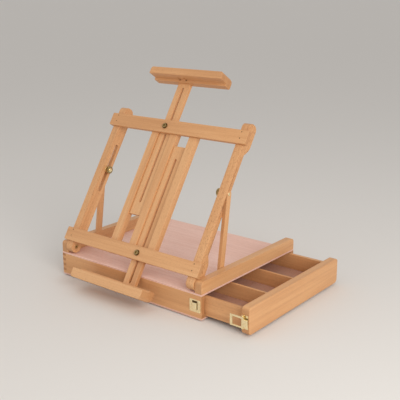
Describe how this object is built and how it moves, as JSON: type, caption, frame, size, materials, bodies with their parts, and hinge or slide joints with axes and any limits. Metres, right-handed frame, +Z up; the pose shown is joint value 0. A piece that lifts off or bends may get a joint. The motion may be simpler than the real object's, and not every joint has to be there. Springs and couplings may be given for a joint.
{
  "type": "tabletop easel",
  "caption": "Wooden tabletop box easel with a tilting frame on two folding props, a sliding canvas clamp and ledge, and a side drawer with a brass latch.",
  "frame": {"origin": "on the table, under the middle of the box, in the plane where its four feet end", "axes": "+Z up, the painter sits at -Y, and the drawer opens towards +X"},
  "size_m": [0.5245, 0.4009, 0.4664],
  "materials": {
    "beech": "satin oiled beech",
    "plywood": "sanded pale plywood",
    "brass": "polished",
    "screw_steel": "zinc plated",
    "feet": "matt"
  },
  "bodies": {
    "box": {"feet": "feet", "front_wall": "beech", "back_wall": "beech", "left_wall": "beech", "bottom_panel": "plywood", "top_panel": "plywood", "runner_front": "beech", "runner_back": "beech", "rail_left": "beech", "rail_right": "beech", "rail_screws": "screw_steel", "catch_plate": "brass", "catch_pins": "brass", "leg_pivot_screws": "screw_steel", "prop_pivot_screws": "screw_steel"},
    "drawer": {"drawer_front_side": "beech", "drawer_back_side": "beech", "drawer_end": "beech", "drawer_bottom": "plywood", "divider_front": "beech", "divider_back": "beech", "drawer_face": "beech", "latch_plate": "brass", "latch_plate_pins": "brass", "latch_hinge_pin": "brass"},
    "latch_lever_body": {"latch_lever": "brass"},
    "latch_loop_body": {"latch_loop": "brass"},
    "frame": {"leg_left": "beech", "leg_right": "beech", "crossbar_lower": "beech", "crossbar_upper": "beech", "mast_rail_left": "beech", "mast_rail_centre": "beech", "mast_rail_right": "beech", "leg_brads": "brass", "mast_screws": "screw_steel", "clamp_bolt_upper": "brass", "clamp_bolt_lower": "brass", "washer_upper": "brass", "washer_lower": "brass"},
    "wing_nut_upper_body": {"wing_nut_upper": "brass"},
    "wing_nut_lower_body": {"wing_nut_lower": "brass"},
    "upper_slider": {"upper_stem": "beech", "canvas_clamp": "beech", "clamp_screws": "screw_steel"},
    "lower_slider": {"lower_stem": "beech", "canvas_ledge": "beech", "ledge_screws": "screw_steel"},
    "prop_left_body": {"prop_left": "beech", "prop_bolt_left": "brass", "knob_washer_left": "brass"},
    "prop_right_body": {"prop_right": "beech", "prop_bolt_right": "brass", "knob_washer_right": "brass"},
    "knob_left_body": {"knob_left": "brass"},
    "knob_right_body": {"knob_right": "brass"}
  },
  "joints": [
    {"name": "frame_tilt", "type": "hinge", "parent": "box", "child": "frame", "pos_m": [0, -0.159, 0.073], "axis": [-1, 0, 0], "range_deg": [0, 57]},
    {"name": "prop_left_fold", "type": "hinge", "parent": "box", "child": "prop_left_body", "pos_m": [-0.182, -0.079, 0.073], "axis": [-1, 0, 0], "range_deg": [0, 82]},
    {"name": "prop_right_fold", "type": "hinge", "parent": "box", "child": "prop_right_body", "pos_m": [0.182, -0.079, 0.073], "axis": [-1, 0, 0], "range_deg": [0, 82]},
    {"name": "upper_slide", "type": "slide", "parent": "frame", "child": "upper_slider", "axis": [0, 0.5446, 0.8387], "range_m": [-0.092, 0.17]},
    {"name": "lower_slide", "type": "slide", "parent": "frame", "child": "lower_slider", "axis": [0, 0.5446, 0.8387], "range_m": [-0.024, 0.051]},
    {"name": "drawer_slide", "type": "slide", "parent": "box", "child": "drawer", "axis": [1, 0, 0], "range_m": [-0.0967, 0.18]},
    {"name": "latch_lever_hinge", "type": "hinge", "parent": "drawer", "child": "latch_lever_body", "pos_m": [0.306, -0.1732, 0.031], "axis": [0, 0, -1], "range_deg": [0, 120]},
    {"name": "latch_loop_hinge", "type": "hinge", "parent": "latch_lever_body", "child": "latch_loop_body", "pos_m": [0.3094, -0.1754, 0.031], "axis": [0, 0, -1], "range_deg": [-120, 0]},
    {"name": "wing_nut_upper_turn", "type": "hinge", "parent": "frame", "child": "wing_nut_upper_body", "pos_m": [-0.027, 0.01399, 0.33112], "axis": [0, -0.8387, 0.5446], "continuous": true},
    {"name": "wing_nut_lower_turn", "type": "hinge", "parent": "frame", "child": "wing_nut_lower_body", "pos_m": [0.027, -0.14254, 0.09009], "axis": [0, -0.8387, 0.5446], "continuous": true},
    {"name": "knob_left_turn", "type": "hinge", "parent": "prop_left_body", "child": "knob_left_body", "pos_m": [-0.1617, -0.05436, 0.23413], "axis": [-1, 0, 0], "continuous": true},
    {"name": "knob_right_turn", "type": "hinge", "parent": "prop_right_body", "child": "knob_right_body", "pos_m": [0.1617, -0.05436, 0.23413], "axis": [1, 0, 0], "continuous": true}
  ],
  "couplings": [
    {"joint": "prop_left_fold", "follows": "frame_tilt", "ratio": 1.4264},
    {"joint": "prop_right_fold", "follows": "frame_tilt", "ratio": 1.4264},
    {"joint": "latch_loop_hinge", "follows": "latch_lever_hinge", "ratio": -1}
  ]
}
